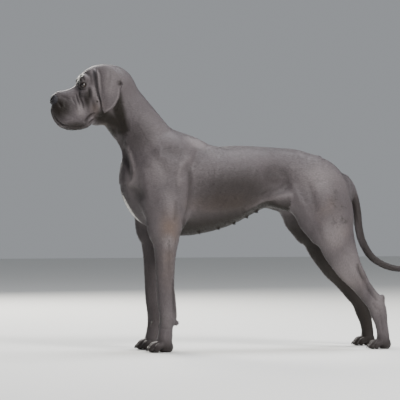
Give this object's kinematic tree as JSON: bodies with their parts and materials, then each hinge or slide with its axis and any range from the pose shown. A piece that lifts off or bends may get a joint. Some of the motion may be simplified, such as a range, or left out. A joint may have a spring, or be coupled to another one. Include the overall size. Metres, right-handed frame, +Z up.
{
  "type": "great dane",
  "caption": "Life-size still model of a tall short-coated blue-grey dog with drop ears and a long tail, standing square with its head up.",
  "frame": {"origin": "on the floor under the middle of the dog's length and width", "axes": "+Z up, the dog faces -X, its left side is towards -Y"},
  "size_m": [1.509, 0.2874, 1.0947],
  "materials": {
    "coat": "short sleek blue-grey hair, softly glossy",
    "nose_leather": "dark pebbled leather, slightly moist",
    "eye": "wet dark brown eye",
    "claw": "dark smooth horn"
  },
  "bodies": {
    "root": {"head": "coat", "nose": "nose_leather", "lower_jaw": "coat", "left_eye": "eye", "right_eye": "eye", "left_ear": "coat", "right_ear": "coat", "neck": "coat", "torso": "coat", "tail_root": "coat", "tail_middle": "coat", "tail_tip": "coat", "left_upper_arm": "coat", "left_forearm": "coat", "left_front_pastern": "coat", "left_front_paw": "coat", "left_dewclaw": "claw", "left_thigh": "coat", "left_lower_leg": "coat", "left_hock": "coat", "left_hind_paw": "coat", "right_upper_arm": "coat", "right_forearm": "coat", "right_front_pastern": "coat", "right_front_paw": "coat", "right_dewclaw": "claw", "right_thigh": "coat", "right_lower_leg": "coat", "right_hock": "coat", "right_hind_paw": "coat", "left_front_claw_inner": "claw", "left_front_claw_second": "claw", "left_front_claw_third": "claw", "left_front_claw_outer": "claw", "right_front_claw_inner": "claw", "right_front_claw_second": "claw", "right_front_claw_third": "claw", "right_front_claw_outer": "claw", "left_hind_claw_inner": "claw", "left_hind_claw_second": "claw", "left_hind_claw_third": "claw", "left_hind_claw_outer": "claw", "right_hind_claw_inner": "claw", "right_hind_claw_second": "claw", "right_hind_claw_third": "claw", "right_hind_claw_outer": "claw"}
  },
  "joints": []
}
